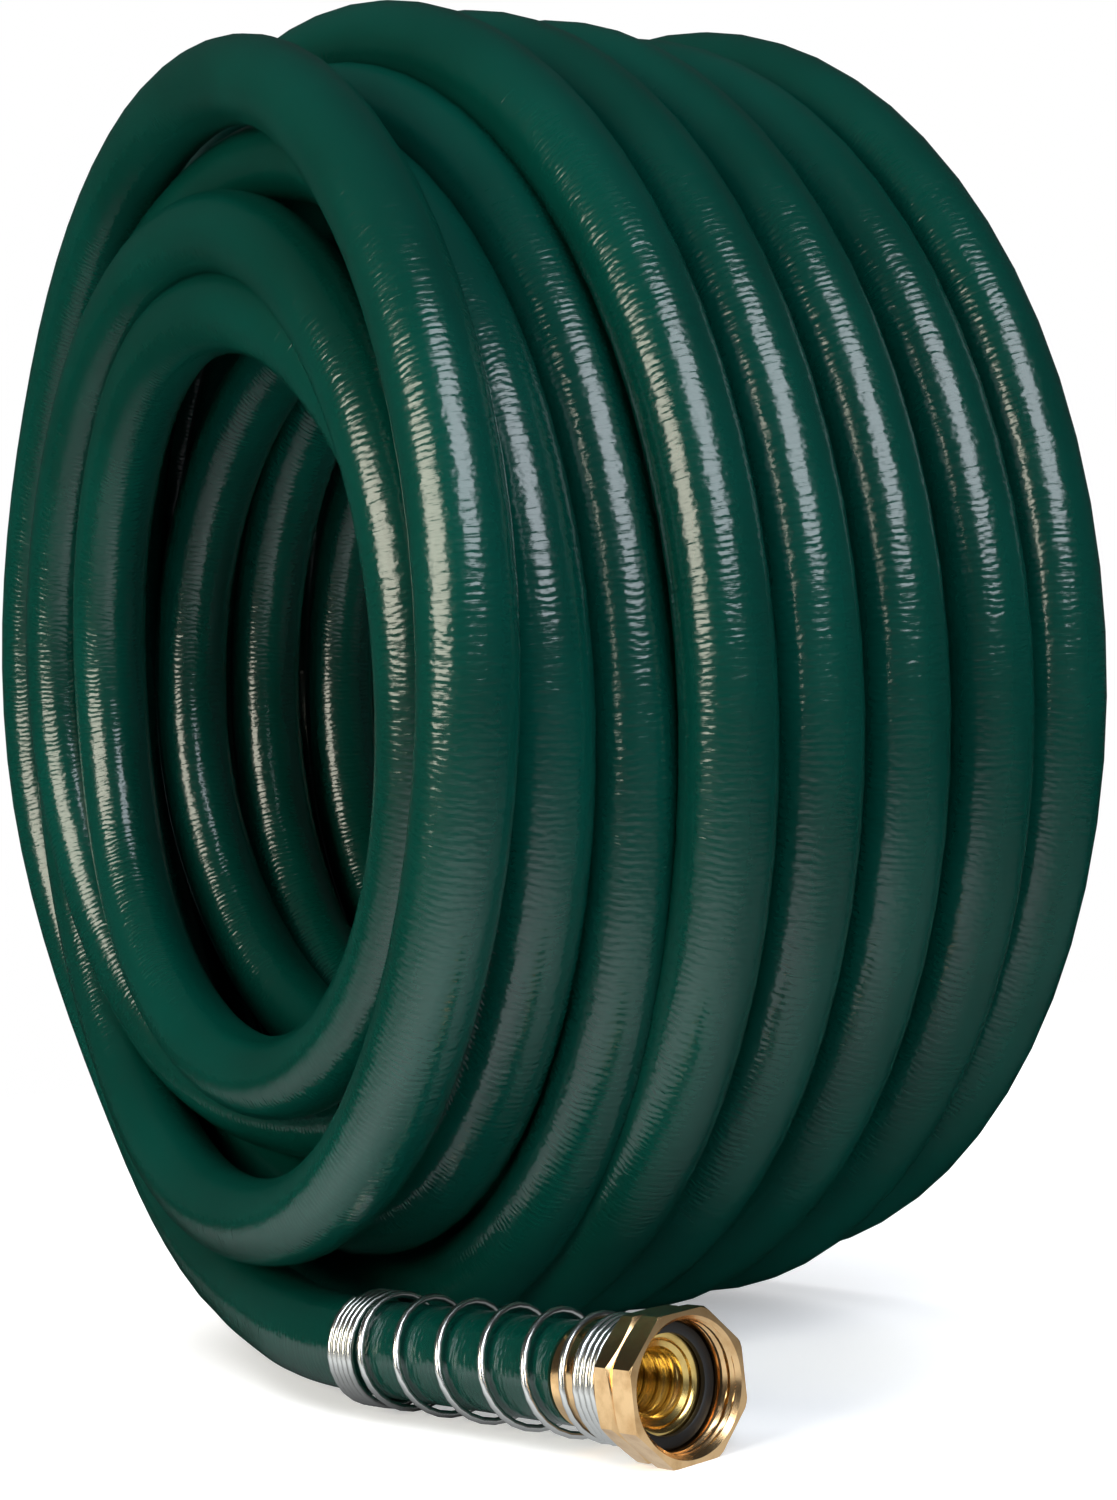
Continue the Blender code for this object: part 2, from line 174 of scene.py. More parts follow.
def tube_mesh(name, route, radius, sides, first_hollow=None):
    """A round tube along a route, with flat ends.

    first_hollow is the radius and depth of a bore in its first end. UV is the length in metres
    and the share of the way round.
    """
    rings = []
    walked = [0.0]
    for a, b in zip(route, route[1:]):
        walked.append(walked[-1] + (b - a).length)
    heading = (route[1] - route[0]).normalized()
    across = heading.cross(Vector((0, 0, 1))).normalized()
    for index, place in enumerate(route):
        ahead = (route[min(index + 1, len(route) - 1)] - route[max(index - 1, 0)]).normalized()
        across = (across - ahead * across.dot(ahead)).normalized()
        rings.append((place, across.copy(), ahead.cross(across), radius, walked[index]))
    if first_hollow:
        bore, depth = first_hollow
        mouth = []
        for index in range(1, len(route)):
            if walked[index] > depth:
                break
            mouth.append((*rings[index][:3], bore, walked[index]))
        rings = [*reversed(mouth), (*rings[0][:3], bore, 0.0), *rings]
    vertices = []
    for place, side, up, ring_radius, _ in rings:
        for step in range(sides):
            angle = 2 * math.pi * step / sides
            vertices.append(place + ring_radius * (math.cos(angle) * side + math.sin(angle) * up))
    faces = []
    corners = []
    for ring in range(len(rings) - 1):
        for step in range(sides):
            following = (step + 1) % sides
            a, b = ring * sides, (ring + 1) * sides
            faces.append((a + step, b + step, b + following, a + following))
            low, high = rings[ring][4], rings[ring + 1][4]
            corners += [(low, step), (high, step), (high, step + 1), (low, step + 1)]
    last = (len(rings) - 1) * sides
    faces.append(tuple(range(sides)))
    corners += [(rings[0][4], step) for step in range(sides)]
    faces.append(tuple(last + step for step in reversed(range(sides))))
    corners += [(rings[-1][4], step) for step in reversed(range(sides))]
    mesh = bpy.data.meshes.new(name)
    mesh.from_pydata(vertices, [], faces)
    layer = mesh.uv_layers.new(name="along_and_round")
    places = [value for along, step in corners for value in (along, step / sides)]
    layer.data.foreach_set("uv", places)
    mesh.shade_smooth()
    mesh.set_sharp_from_angle(angle=math.radians(SHARP_DEGREES))
    piece = bpy.data.objects.new(name, mesh)
    bpy.context.scene.collection.objects.link(piece)
    bpy.context.view_layer.objects.active = piece
    bpy.ops.object.select_all(action="DESELECT")
    piece.select_set(True)
    bpy.ops.object.mode_set(mode="EDIT")
    bpy.ops.mesh.select_all(action="SELECT")
    bpy.ops.mesh.normals_make_consistent(inside=False)
    bpy.ops.object.mode_set(mode="OBJECT")
    return piece


class Signal:
    """A node's output that can be added, taken away and multiplied in a shader."""

    def __init__(self, finish, socket):
        self.finish = finish
        self.socket = socket

    def math(self, operation, first, second):
        return self.finish.node("ShaderNodeMath", {"operation": operation}, {0: first, 1: second})

    def __add__(self, other):
        return self.math("ADD", self, other)

    def __radd__(self, other):
        return self.math("ADD", other, self)

    def __sub__(self, other):
        return self.math("SUBTRACT", self, other)

    def __rsub__(self, other):
        return self.math("SUBTRACT", other, self)

    def __mul__(self, other):
        return self.math("MULTIPLY", self, other)

    def __rmul__(self, other):
        return self.math("MULTIPLY", other, self)


class Finish:
    """A material of one Principled shader, whose other nodes are added by type."""

    def __init__(self, name, **constants):
        self.material = bpy.data.materials.new(name)
        self.material.use_nodes = True
        self.tree = self.material.node_tree
        self.shader = self.tree.nodes["Principled BSDF"]
        for socket, value in constants.items():
            self.shader.inputs[socket.replace("_", " ")].default_value = value

    def node(self, kind, settings=None, inputs=None, output=0):
        node = self.tree.nodes.new(kind)
        for name, value in (settings or {}).items():
            setattr(node, name, value)
        for name, value in (inputs or {}).items():
            if isinstance(value, Signal):
                self.tree.links.new(value.socket, node.inputs[name])
            else:
                node.inputs[name].default_value = value
        return Signal(self, node.outputs[output])

    def feed(self, name, signal):
        self.tree.links.new(signal.socket, self.shader.inputs[name])

    def noise(self, vector, scale, detail):
        inputs = {"Vector": vector, "Scale": scale, "Detail": detail}
        return self.node("ShaderNodeTexNoise", None, inputs)

    def bump(self, height, distance, strength):
        inputs = {"Strength": strength, "Distance": distance, "Height": height}
        self.feed("Normal", self.node("ShaderNodeBump", None, inputs))

    def object_place(self):
        return self.node("ShaderNodeTexCoord", None, None, 3)

    def distance_from(self, spot, centre):
        """How far the place is from the centre."""
        inputs = {0: spot, 1: centre}
        offset = self.node("ShaderNodeVectorMath", {"operation": "SUBTRACT"}, inputs)
        return self.node("ShaderNodeVectorMath", {"operation": "LENGTH"}, {0: offset}, 1)

    def ramp(self, value, low, high):
        """Nought below low, one above high."""
        inputs = {"Value": value, "From Min": low, "From Max": high}
        return self.node("ShaderNodeMapRange", {"clamp": True}, inputs)

    def mixed(self, share, first, second):
        inputs = {"Factor": share, 6: first, 7: second}
        return self.node("ShaderNodeMix", {"data_type": "RGBA"}, inputs, 2)


VINYL_GREEN = (0.0002, 0.0330, 0.0240, 1.0)
VINYL_DEEP = (0.0002, 0.0255, 0.0182, 1.0)
BRAID_PITCH = 0.0016
SKIN_RELIEF = 0.00028


def glossy_vinyl():
    """Green vinyl whose skin has fine cross wrinkles and small beads from the braid under it."""
    vinyl = Finish("glossy_vinyl", Roughness=0.17, IOR=1.52)
    uv = vinyl.node("ShaderNodeUVMap", {"uv_map": "along_and_round"})
    along = vinyl.node("ShaderNodeSeparateXYZ", None, {0: uv}, 0)
    around = vinyl.node("ShaderNodeSeparateXYZ", None, {0: uv}, 1) * (2 * math.pi)
    side = vinyl.node("ShaderNodeMath", {"operation": "COSINE"}, {0: around})
    front = vinyl.node("ShaderNodeMath", {"operation": "SINE"}, {0: around})

    def skin(length, width, detail):
        """Noise with features this long along the hose and this wide round it."""
        reach = HOSE_DIAMETER / 2 / width
        inputs = {"X": along * (1 / length), "Y": side * reach, "Z": front * reach}
        return vinyl.noise(vinyl.node("ShaderNodeCombineXYZ", None, inputs), 1.0, detail)

    wrinkles = skin(0.0007, 0.0060, 2.0)
    beads = skin(0.0017, 0.0024, 1.0)
    waves = skin(0.014, 0.014, 1.0)
    winding = along * (2 * math.pi / BRAID_PITCH) + skin(0.008, 0.006, 1.0) * 12
    braid = vinyl.node("ShaderNodeMath", {"operation": "SINE"}, {0: winding})
    height = wrinkles * 0.26 + beads * 0.60 + waves * 0.8 + braid * 0.065
    vinyl.bump(height, SKIN_RELIEF, 1.0)
    tint = vinyl.ramp(skin(0.060, 0.030, 2.0), 0.35, 0.65)
    vinyl.feed("Base Color", vinyl.mixed(tint, VINYL_GREEN, VINYL_DEEP))
    vinyl.feed("Roughness", vinyl.ramp(wrinkles, 0.2, 0.8) * 0.10 + 0.15)
    return vinyl.material


lead_points = [Vector(place) for place in LEAD_ROUTE]
first_turn = [on_coil(*station) for station in TURNS[:2]]
lead_in = smooth_points([*lead_points, *first_turn], LEAD_STEPS)[: len(LEAD_ROUTE) * LEAD_STEPS]
wound = [on_coil(*row) for row in smooth_stations(TURNS, RING_DEGREES)]
hose_route = [*lead_in, *wound, INNER_END]
hose_bore = (HOSE_BORE_RADIUS, HOSE_BORE_SEEN)
hose = tube_mesh("hose", hose_route, HOSE_DIAMETER / 2, HOSE_SIDES, hose_bore)
hose.data.materials.append(glossy_vinyl())
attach(hose, "hose")
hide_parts("hose_coil", "hose_lead", "hose_inner_end")


# Kink guard: a spring of bright stainless wire, wound tight at both ends and open between them.
# It slips over the hose and grips it behind the coupling.
WIRE_RADIUS = 0.0008
WIRE_SIDES = 12
STEEL = (0.62, 0.62, 0.60, 1.0)
SPRING_RADIUS = 0.0122
SPRING_STEPS = 26
MOUTH_DISTANCE = 0.0308  # from the hose's end to the nut's mouth
LEAD_HEADING = math.radians(7.5)
# How far behind the nut's mouth each turn of the wire lies
SPRING_TURNS = (
    0.0131, 0.0148, 0.0165, 0.0183, 0.0203, 0.0255, 0.0387, 0.0531, 0.0683, 0.0834, 0.0961,
    0.0993, 0.1013, 0.1031, 0.1049, 0.1067,
)
SPRING_START = math.radians(200)


def on_lead(distance):
    """Lays a piece that stands on Z along the lead's axis, this far past the hose's end."""
    turn = Matrix.Rotation(LEAD_HEADING, 4, "Z") @ Matrix.Rotation(math.pi / 2, 4, "Y")
    return Matrix.Translation(LEAD_END) @ turn @ Matrix.Translation((0, 0, distance))


def stainless_wire():
    """Drawn wire whose die lines along it are duller and brighter by turns."""
    steel = Finish("stainless_wire", Base_Color=STEEL, Metallic=1.0, Roughness=0.2)
    uv = steel.node("ShaderNodeUVMap", {"uv_map": "along_and_round"})
    lines = steel.node("ShaderNodeMapping", None, {"Vector": uv, "Scale": (30.0, 40.0, 1.0)})
    scratch = steel.noise(lines, 6.0, 3.0)
    steel.feed("Roughness", scratch * 0.14 + 0.16)
    return steel.material


wire_route = []
for turn, distance in smooth_stations(list(enumerate(SPRING_TURNS)), 1 / SPRING_STEPS):
    angle = SPRING_START - 2 * math.pi * turn
    around = Vector((SPRING_RADIUS * math.cos(angle), SPRING_RADIUS * math.sin(angle), 0))
    wire_route.append(on_lead(MOUTH_DISTANCE - distance) @ around)
spring = tube_mesh("kink_guard", wire_route, WIRE_RADIUS, WIRE_SIDES)
spring.data.materials.append(stainless_wire())
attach(spring, "hose")
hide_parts("kink_guard_spring")


# Crimp collar: a drawn brass sleeve that a die pressed onto the hose and its stem. The die leaves
# shallow flats round it, and the rear edge is rolled.
COLLAR_RADIUS = 0.0107
COLLAR_LENGTH = 0.0182
COLLAR_RINGS = 9
COLLAR_FLATS = 8
FLAT_SHARE = 1.035  # how far out the flats lie, against ones that meet at the sleeve's surface
ROLLED_EDGE = 0.0009
STEM_RADIUS = 0.0075
CLEARANCE = 0.0003
TURNED_SIDES = 64
BRASS = (0.80, 0.53, 0.27, 1.0)
BRASS_DARK = (0.62, 0.37, 0.16, 1.0)


def turned(name, profile, sides=TURNED_SIDES, closed=True):
    """A wall turned about Z through (radius, height) rings, each extruded from the one before.

    Closed joins the last ring to the first, as round a tube, and otherwise both ends get a face.
    """
    bpy.ops.object.select_all(action="DESELECT")
    radius, height = profile[0]
    bpy.ops.mesh.primitive_circle_add(vertices=sides, radius=radius, location=(0, 0, height))
    piece = bpy.context.object
    piece.name = piece.data.name = name
    bpy.ops.object.transform_apply(location=True, rotation=False, scale=False)
    bpy.ops.object.mode_set(mode="EDIT")
    bpy.ops.mesh.select_all(action="SELECT")
    for next_radius, next_height in profile[1:]:
        step = {"value": (0, 0, next_height - height)}
        bpy.ops.mesh.extrude_edges_move(TRANSFORM_OT_translate=step)
        grow = next_radius / radius
        bpy.ops.transform.resize(value=(grow, grow, 1), center_override=(0, 0, 0))
        radius, height = next_radius, next_height
    bpy.ops.mesh.select_all(action="DESELECT")
    bpy.ops.mesh.select_non_manifold(extend=False)
    if closed:
        bpy.ops.mesh.bridge_edge_loops()
    else:
        bpy.ops.mesh.edge_face_add()
    bpy.ops.mesh.select_all(action="SELECT")
    bpy.ops.mesh.normals_make_consistent(inside=False)
    bpy.ops.object.mode_set(mode="OBJECT")
    return piece


def finished(piece, place, material, angle=30):
    """Puts the piece's place into its mesh and gives it its material and shading."""
    piece.matrix_world = place
    bpy.ops.object.select_all(action="DESELECT")
    bpy.context.view_layer.objects.active = piece
    piece.select_set(True)
    bpy.ops.object.transform_apply(location=True, rotation=True, scale=True)
    bpy.ops.object.shade_smooth_by_angle(angle=math.radians(angle))
    piece.data.materials.clear()
    piece.data.materials.append(material)
    return piece


def turned_brass(name, colour=BRASS, shade=BRASS_DARK, place=None):
    """Machined brass: cutter lines round its axis, and a darker, duller skin in patches."""
    brass = Finish(name, Metallic=1.0, Roughness=0.2)
    spot = brass.object_place()
    centre = (place or Matrix()).inverted()
    local = brass.node(
        "ShaderNodeMapping",
        None,
        {"Vector": spot, "Location": centre.translation, "Rotation": centre.to_euler()},
    )
    height = brass.node("ShaderNodeSeparateXYZ", None, {0: local}, 2)
    lines = brass.noise(brass.node("ShaderNodeCombineXYZ", None, {"Z": height}), 5200.0, 2.0)
    patches = brass.noise(spot, 260.0, 3.0)
    brass.feed("Base Color", brass.mixed(brass.ramp(patches, 0.45, 0.8), colour, shade))
    brass.feed("Roughness", lines * 0.10 + brass.ramp(patches, 0.3, 0.8) * 0.10 + 0.12)
    brass.bump(lines * 0.6 + patches * 0.4, 0.00003, 0.5)
    return brass.material


def crimped_sleeve(name, length):
    """A sleeve whose middle is pressed to eight flats and whose edges stay round."""
    inner = STEM_RADIUS + CLEARANCE
    rolled = ROLLED_EDGE
    wall = [(COLLAR_RADIUS - rolled, 0.0), (COLLAR_RADIUS, rolled)]
    for ring in range(COLLAR_RINGS):
        wall.append((COLLAR_RADIUS, rolled + (length - 2 * rolled) * (ring + 0.5) / COLLAR_RINGS))
    wall += [(COLLAR_RADIUS, length - rolled), (COLLAR_RADIUS - rolled, length)]
    piece = turned(name, [*wall, (inner, length), (inner, 0.0)])
    for vertex in piece.data.vertices:
        radius = math.hypot(vertex.co.x, vertex.co.y)
        if radius < COLLAR_RADIUS - rolled / 2:
            continue
        edge = min(vertex.co.z, length - vertex.co.z)
        pressed = min(1.0, max(0.0, (edge - rolled) / rolled))
        angle = math.atan2(vertex.co.y, vertex.co.x)
        corner = 2 * math.pi / COLLAR_FLATS
        off = (angle + corner / 2) % corner - corner / 2
        flat = COLLAR_RADIUS * math.cos(corner / 2) * FLAT_SHARE / math.cos(off)
        grow = 1 + pressed * (min(radius, flat) / radius - 1)
        vertex.co.x *= grow
        vertex.co.y *= grow
    return piece


collar_place = on_lead(CLEARANCE)
coupling_brass = turned_brass("coupling_brass", place=on_lead(0))
collar = finished(crimped_sleeve("pressed_collar", COLLAR_LENGTH), collar_place, coupling_brass)
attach(collar, "hose")
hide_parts("crimp_collar")


# Coupling stem: a thin brass tube with a flange that holds the swivel nut. Pressing the collar
# expanded it in rings, which show inside as corrugations.
FLANGE_RADIUS = 0.0112
FLANGE_THICKNESS = 0.0016
NUT_BACK = 2 * CLEARANCE + COLLAR_LENGTH
NUT_BACK_WALL = 0.0018
STEM_WAVES = 5
WAVE_RINGS = 8
WAVE_TOP_RADIUS = 0.0071
WAVE_DEPTH = 0.0012
LIP_DEPTH = 0.0016
STEM_BRASS = (0.78, 0.56, 0.20, 1.0)
STEM_BRASS_DARK = (0.60, 0.40, 0.12, 1.0)

flange_bottom = NUT_BACK + NUT_BACK_WALL
flange_top = flange_bottom + FLANGE_THICKNESS
stem_wall = [
    (0.0072, 0.0),
    (STEM_RADIUS, 0.0004),
    (STEM_RADIUS, flange_bottom - 0.0002),
    (STEM_RADIUS + 0.0002, flange_bottom),
    (FLANGE_RADIUS - 0.0002, flange_bottom),
    (FLANGE_RADIUS, flange_bottom + 0.0002),
    (FLANGE_RADIUS, flange_top - 0.0003),
    (FLANGE_RADIUS - 0.0003, flange_top),
    (0.0094, flange_top),
    (0.0089, flange_top - 0.0001),
    (0.0084, flange_top - 0.0005),
    (0.0082, flange_top - 0.0011),
]
wave_length = (flange_top - 0.0020) / STEM_WAVES
for ring in range(STEM_WAVES * WAVE_RINGS + 1):
    down = wave_length * ring / WAVE_RINGS
    narrow = 0.5 - 0.5 * math.cos(2 * math.pi * ring / WAVE_RINGS)
    stem_wall.append((WAVE_TOP_RADIUS - WAVE_DEPTH * narrow, flange_top - LIP_DEPTH - down))
stem_brass = turned_brass("stem_brass", STEM_BRASS, STEM_BRASS_DARK, on_lead(0))
stem = finished(turned("stem", stem_wall), on_lead(CLEARANCE), stem_brass)
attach(stem, "hose")
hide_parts("coupling_stem")


# Swivel nut: machined from octagonal brass bar, with a smaller octagon behind, a turned chamfer
# on its mouth and an internal thread. It turns freely on the stem's flange.
NUT_ACROSS_FLATS = 0.0290
NUT_REAR_ACROSS_FLATS = 0.0282
NUT_SIDES = 8
NUT_FRONT_LENGTH = 0.0066
NUT_REAR_LENGTH = 0.0054
NUT_CHAMFER = 0.0004
SOCKET_RADIUS = 0.0127
THREAD_PITCH = 0.0022
THREAD_DEPTH = 0.0008
THREAD_RINGS = 10  # to one pitch
THREAD_SLOPE = 2.6  # above 2, the ridges are narrower than the grooves
THREAD_SIDES = 48
PAST = 0.001  # how far a cutter reaches past what it cuts
NUT_LENGTH = NUT_FRONT_LENGTH + NUT_REAR_LENGTH


def octagon(name, across_flats, bottom, top):
    """A prism cut from octagonal bar, standing on Z."""
    bpy.ops.object.select_all(action="DESELECT")
    bpy.ops.mesh.primitive_cylinder_add(
        vertices=NUT_SIDES,
        radius=across_flats / 2 / math.cos(math.pi / NUT_SIDES),
        depth=top - bottom,
        location=(0, 0, (top + bottom) / 2),
        rotation=(0, 0, math.pi / NUT_SIDES),
    )
    piece = bpy.context.object
    piece.name = piece.data.name = name
    bpy.ops.object.transform_apply(location=True, rotation=True, scale=True)
    return piece


def threaded(name, radius, bottom, top, depth, fade=0.0):
    """A round bar with a thread of this depth, whose ridge runs out over the fade at its top."""
    rings = round((top - bottom) / THREAD_PITCH * THREAD_RINGS)
    profile = [(radius, bottom + (top - bottom) * ring / rings) for ring in range(rings + 1)]
    piece = turned(name, profile, THREAD_SIDES, closed=False)
    for vertex in piece.data.vertices:
        angle = math.atan2(vertex.co.y, vertex.co.x)
        phase = (vertex.co.z / THREAD_PITCH - angle / (2 * math.pi)) % 1.0
        ridge = max(0.0, 1 - abs(phase - 0.5) * THREAD_SLOPE)
        if fade:
            ridge *= min(1.0, max(0.0, (top - vertex.co.z) / fade))
        grow = (radius + depth * ridge) / radius
        vertex.co.x *= grow
        vertex.co.y *= grow
    return piece


def cut(piece, other, operation):
    """Joins, cuts or trims the piece by the other, which is used up."""
    modifier = piece.modifiers.new(operation.lower(), "BOOLEAN")
    modifier.operation = operation
    modifier.object = other
    modifier.solver = "EXACT"
    bpy.ops.object.select_all(action="DESELECT")
    bpy.context.view_layer.objects.active = piece
    piece.select_set(True)
    bpy.ops.object.modifier_apply(modifier=modifier.name)
    bpy.data.objects.remove(other, do_unlink=True)


nut_corner = NUT_ACROSS_FLATS / 2 / math.cos(math.pi / NUT_SIDES)
nut = octagon("nut", NUT_ACROSS_FLATS, NUT_REAR_LENGTH, NUT_LENGTH)
nut_rear = octagon("nut_rear", NUT_REAR_ACROSS_FLATS, 0, NUT_REAR_LENGTH + PAST)
cut(nut, nut_rear, "UNION")
# Radius and height of what is left of the corners: rear edge, groove between the two octagons
# and front edge
chamfer_profile = [
    (nut_corner - 0.0022, -0.0001),
    (nut_corner + 0.0002, 0.0014),
    (nut_corner + 0.0002, NUT_REAR_LENGTH - 0.0017),
    (nut_corner - 0.0019, NUT_REAR_LENGTH - 0.0002),
    (nut_corner - 0.0019, NUT_REAR_LENGTH + 0.0002),
    (nut_corner + 0.0002, NUT_REAR_LENGTH + 0.0017),
    (nut_corner + 0.0002, NUT_LENGTH - 0.0005),
    (nut_corner - NUT_CHAMFER, NUT_LENGTH),
    (nut_corner - NUT_CHAMFER, NUT_LENGTH + PAST),
]
cut(nut, turned("nut_chamfer", chamfer_profile, 96, closed=False), "INTERSECT")
socket_profile = [
    (STEM_RADIUS + CLEARANCE, -PAST),
    (STEM_RADIUS + CLEARANCE, NUT_BACK_WALL),
    (SOCKET_RADIUS, NUT_BACK_WALL),
    (SOCKET_RADIUS, NUT_LENGTH - 0.0009),
    (SOCKET_RADIUS + 0.0019, NUT_LENGTH + PAST),
]
cut(nut, turned("nut_socket", socket_profile, 64, closed=False), "DIFFERENCE")
thread_bottom = NUT_BACK_WALL + 0.0042
thread_top = NUT_LENGTH + PAST
nut_thread = threaded("nut_thread", SOCKET_RADIUS - 0.0001, thread_bottom, thread_top, THREAD_DEPTH)
cut(nut, nut_thread, "DIFFERENCE")
nut = finished(nut, on_lead(NUT_BACK), coupling_brass, 25)
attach(nut, "swivel_nut")
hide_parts("coupling_nut")


# Washer: a flat ring of black rubber pressed into the nut, which seals on the tap's end face.
WASHER_THICKNESS = 0.0016
WASHER_BORE = 0.0098


def washer_rubber():
    """Moulded black rubber with a dull skin."""
    rubber = Finish("washer_rubber", Base_Color=(0.006, 0.006, 0.006, 1.0), Roughness=0.45)
    grain = rubber.noise(rubber.object_place(), 2600.0, 3.0)
    rubber.feed("Roughness", grain * 0.25 + 0.32)
    rubber.bump(grain, 0.00005, 0.4)
    return rubber.material


washer_bottom = NUT_BACK_WALL + FLANGE_THICKNESS + 2 * CLEARANCE
washer_top = washer_bottom + WASHER_THICKNESS
washer_outer = SOCKET_RADIUS - CLEARANCE
washer_wall = [
    (WASHER_BORE, washer_bottom + 0.0003),
    (WASHER_BORE + 0.0003, washer_bottom),
    (washer_outer, washer_bottom),
    (washer_outer, washer_top - 0.0004),
    (washer_outer - 0.0004, washer_top),
    (WASHER_BORE + 0.0005, washer_top),
    (WASHER_BORE + 0.0001, washer_top - 0.0002),
    (WASHER_BORE, washer_top - 0.0006),
]
washer = finished(turned("washer", washer_wall), on_lead(NUT_BACK), washer_rubber())
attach(washer, "swivel_nut")
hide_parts("rubber_washer")


# Male coupling: a brass spigot with an octagonal body and an external thread, held on the hose's
# other end by the same kind of pressed collar.
MALE_ACROSS_FLATS = 0.0262
MALE_BODY_LENGTH = 0.0080
MALE_COLLAR_LENGTH = 0.0170
MALE_THREAD_RADIUS = 0.0130
MALE_THREAD_LENGTH = 0.0150
MALE_BORE_RADIUS = 0.0062
RIDGE_FADE = 0.0010

male_start = INNER_END - Vector((0, 0, CLEARANCE))
male_place = Matrix.Translation(male_start) @ Matrix.Rotation(math.pi, 4, "X")
male_brass = turned_brass("male_brass", place=male_place)
male_sleeve = crimped_sleeve("male_pressed_collar", MALE_COLLAR_LENGTH)
male_collar = finished(male_sleeve, male_place, male_brass)
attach(male_collar, "hose")
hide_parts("male_collar")

body_bottom = MALE_COLLAR_LENGTH + CLEARANCE
body_top = body_bottom + MALE_BODY_LENGTH
spigot_top = body_top + MALE_THREAD_LENGTH
male = octagon("male_spigot", MALE_ACROSS_FLATS, body_bottom, body_top)
tail_profile = [(STEM_RADIUS, 0.0), (STEM_RADIUS, body_bottom + PAST)]
cut(male, turned("male_tail", tail_profile, THREAD_SIDES, closed=False), "UNION")
root_radius = MALE_THREAD_RADIUS - THREAD_DEPTH
root_profile = [
    (root_radius, body_top - PAST),
    (root_radius, spigot_top - 0.0008),
    (root_radius - 0.0008, spigot_top),
]
cut(male, turned("male_root", root_profile, THREAD_SIDES, closed=False), "UNION")
ridge_ends = (body_top + 0.001, spigot_top - 0.0010)
ridges = threaded("male_thread", root_radius - 0.0002, *ridge_ends, THREAD_DEPTH, RIDGE_FADE)
cut(male, ridges, "UNION")
bore_profile = [(MALE_BORE_RADIUS, -PAST), (MALE_BORE_RADIUS, spigot_top + PAST)]
cut(male, turned("male_bore", bore_profile, THREAD_SIDES, closed=False), "DIFFERENCE")
male = finished(male, male_place, male_brass, 25)
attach(male, "hose")
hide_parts("male_coupling")


# Studio: white paper that fades into a white background, between a warm soft box on the left
# front and a cool one on the right. Two more, overhead and behind, don't show in reflections.
FLOOR_SIZE = 6.0
FLOOR_FADE = (0.55, 1.5)
MIRRORED_DEPTH = 0.001
LIGHT_TARGET = (0, 0, 0.15)
BLACK = (0.0, 0.0, 0.0, 1.0)


def pale_floor():
    """White paper as the camera sees it."""
    paper = Finish("pale_floor", Base_Color=(0.86, 0.86, 0.87, 1.0), Roughness=0.6)
    paper.shader.inputs["Emission Strength"].default_value = 0.38
    paper.shader.inputs["Emission Color"].default_value = (0.97, 0.98, 1.0, 1.0)
    away = paper.distance_from(paper.object_place(), (0.0, 0.0, 0.0))
    paper.feed("Alpha", 1 - paper.ramp(away, *FLOOR_FADE))
    return paper.material


def painted_floor_reflection():
    """A glowing sheet that reflections see in place of the paper: a painted reflection of the lit
    floor, not a lamp.

    Its light is painted in pools beside the couplings and before the coil, with painted shadow
    under the coil, and it is dark further out.
    """
    paper = Finish("painted_floor_reflection", Base_Color=BLACK, Roughness=1.0, Emission_Strength=1.4)
    spot = paper.object_place()
    beside_couplings = paper.distance_from(spot, (0.15, -0.11, 0.0))
    before_coil = paper.distance_from(spot, (-0.02, -0.26, 0.0))
    place_x = paper.node("ShaderNodeSeparateXYZ", None, {0: spot}, 0)
    place_y = paper.node("ShaderNodeSeparateXYZ", None, {0: spot}, 1)
    # Painted shadow under the coil, where the real paper lies in shade
    painted_coil_shadow = paper.ramp(place_x, 0.21, 0.09) * paper.ramp(place_y, -0.13, -0.06)
    # Painted pools of light beside the couplings and before the coil, fading further out
    near = 1 - paper.ramp(beside_couplings, 0.02, 0.20)
    far = 1 - paper.ramp(beside_couplings, 0.22, 0.55)
    front = 1 - paper.ramp(before_coil, 0.10, 0.38)
    bright = (near * 0.76 + far * 0.16 + front * 0.24) * (1 - painted_coil_shadow)
    paper.feed("Emission Color", paper.mixed(bright, BLACK, (0.93, 0.97, 1.0, 1.0)))
    return paper.material


def sheet(name, height, material):
    """A sheet of paper on the ground, which isn't part of the hose."""
    bpy.ops.object.select_all(action="DESELECT")
    bpy.ops.mesh.primitive_plane_add(size=FLOOR_SIZE, location=(0, 0, height))
    paper = bpy.context.object
    paper.name = name
    paper.data.materials.append(material)
    return paper


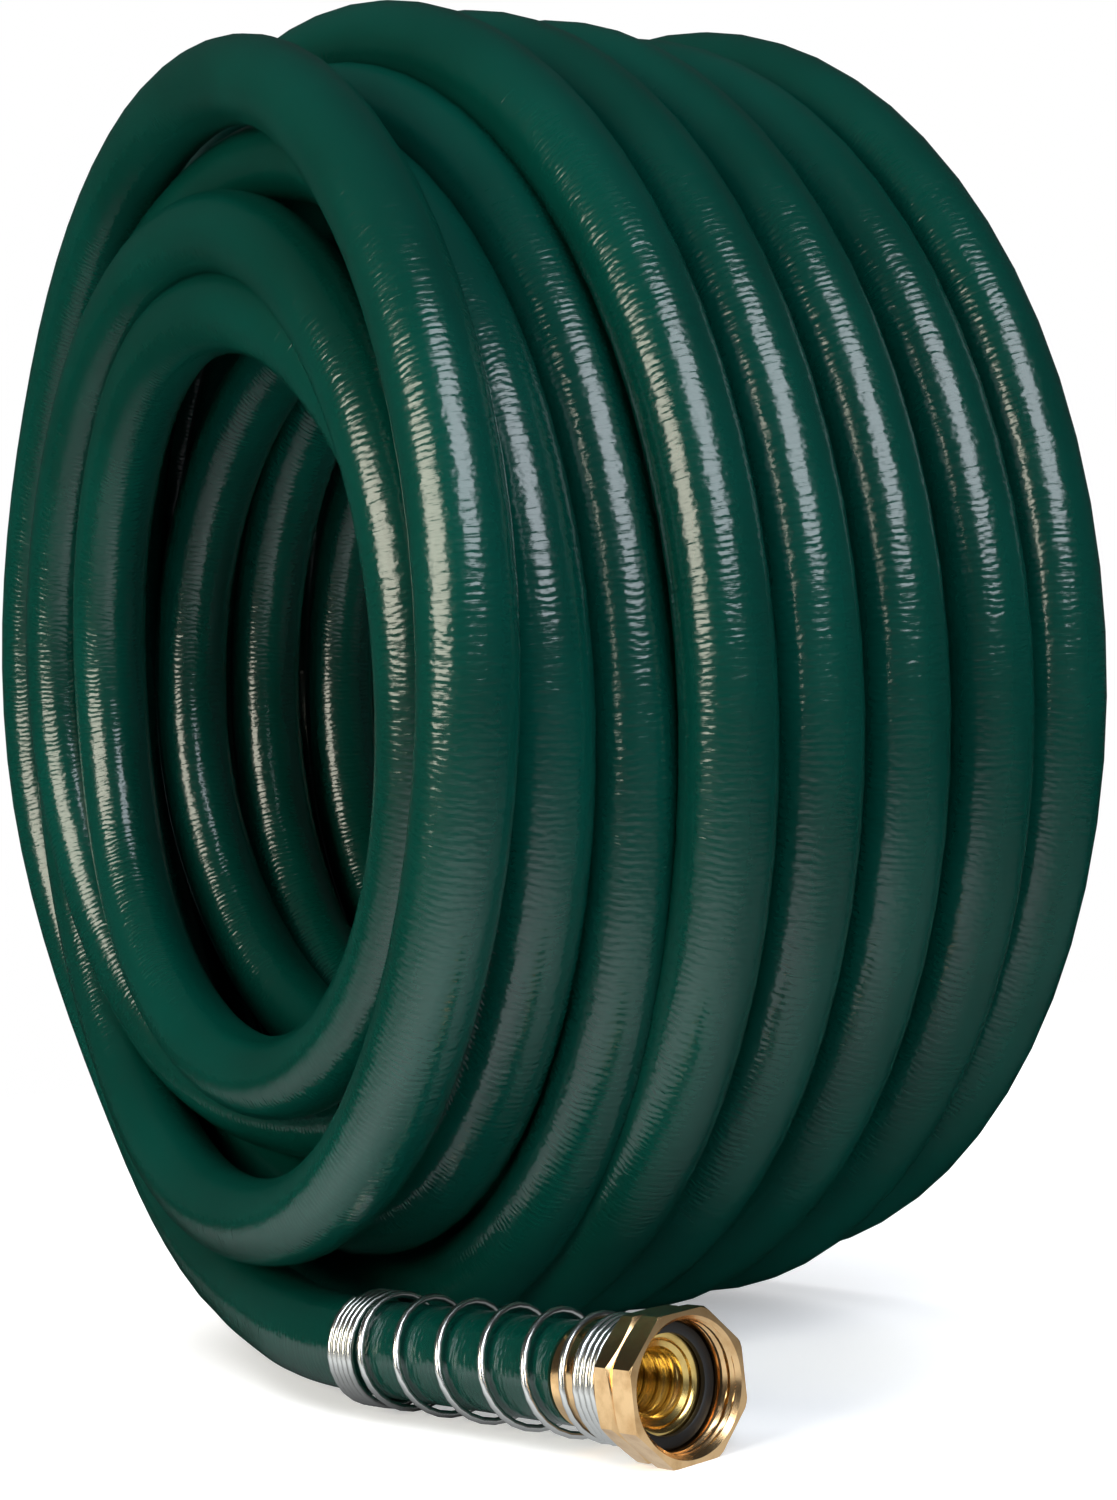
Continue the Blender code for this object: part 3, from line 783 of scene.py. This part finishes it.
floor = sheet("floor", 0, pale_floor())
floor.visible_glossy = False
# Painted reflection: a glowing sheet just under the paper that only reflections see, with painted
# pools of light and painted shadow
painted_reflection_sheet = sheet("painted_reflection_sheet", -MIRRORED_DEPTH, painted_floor_reflection())
painted_reflection_sheet.visible_camera = False
painted_reflection_sheet.visible_diffuse = False
painted_reflection_sheet.visible_shadow = False


def soft_box(name, place, width, height, watts, colour, mirrored=True):
    """A rectangular light that faces the coil, hidden from the camera."""
    data = bpy.data.lights.new(name, "AREA")
    data.shape = "RECTANGLE"
    data.size = width
    data.size_y = height
    data.energy = watts
    data.color = colour
    lamp = bpy.data.objects.new(name, data)
    bpy.context.scene.collection.objects.link(lamp)
    away = Vector(place) - Vector(LIGHT_TARGET)
    turn = away.to_track_quat("Z", "Y").to_matrix().to_4x4()
    lamp.matrix_world = Matrix.Translation(place) @ turn
    lamp.visible_camera = False
    lamp.visible_glossy = mirrored


WHITE_LIGHT = (1.0, 1.0, 1.0)
soft_box("left_front_box", (0.22, -1.5, 0.52), 1.05, 0.78, 26, (1.0, 0.94, 0.78))
soft_box("right_box", (1.65, -0.20, 1.05), 1.00, 1.3, 32, (0.86, 0.92, 1.0))
soft_box("overhead_box", (-0.4, -0.4, 1.9), 2.2, 2.2, 44, WHITE_LIGHT, mirrored=False)
soft_box("back_box", (-0.9, 1.4, 1.0), 0.8, 0.9, 20, WHITE_LIGHT, mirrored=False)

world = bpy.data.worlds.new("studio")
world.use_nodes = True
bpy.context.scene.world = world
tree = world.node_tree


def light_of(colour, strength):
    """A background of one colour."""
    source = tree.nodes.new("ShaderNodeBackground")
    source.inputs["Color"].default_value = (*colour, 1.0)
    source.inputs["Strength"].default_value = strength
    return source.outputs[0]


# The camera sees a white background, and everything else a dim room
rays = tree.nodes.new("ShaderNodeLightPath")
dim_room = light_of((0.90, 0.95, 1.0), 0.035)
backdrop = light_of(WHITE_LIGHT, 1.0)
chooser = tree.nodes.new("ShaderNodeMixShader")
tree.links.new(rays.outputs["Is Camera Ray"], chooser.inputs[0])
tree.links.new(dim_room, chooser.inputs[1])
tree.links.new(backdrop, chooser.inputs[2])
tree.links.new(chooser.outputs[0], tree.nodes["World Output"].inputs["Surface"])
bpy.context.scene.view_settings.view_transform = "Standard"
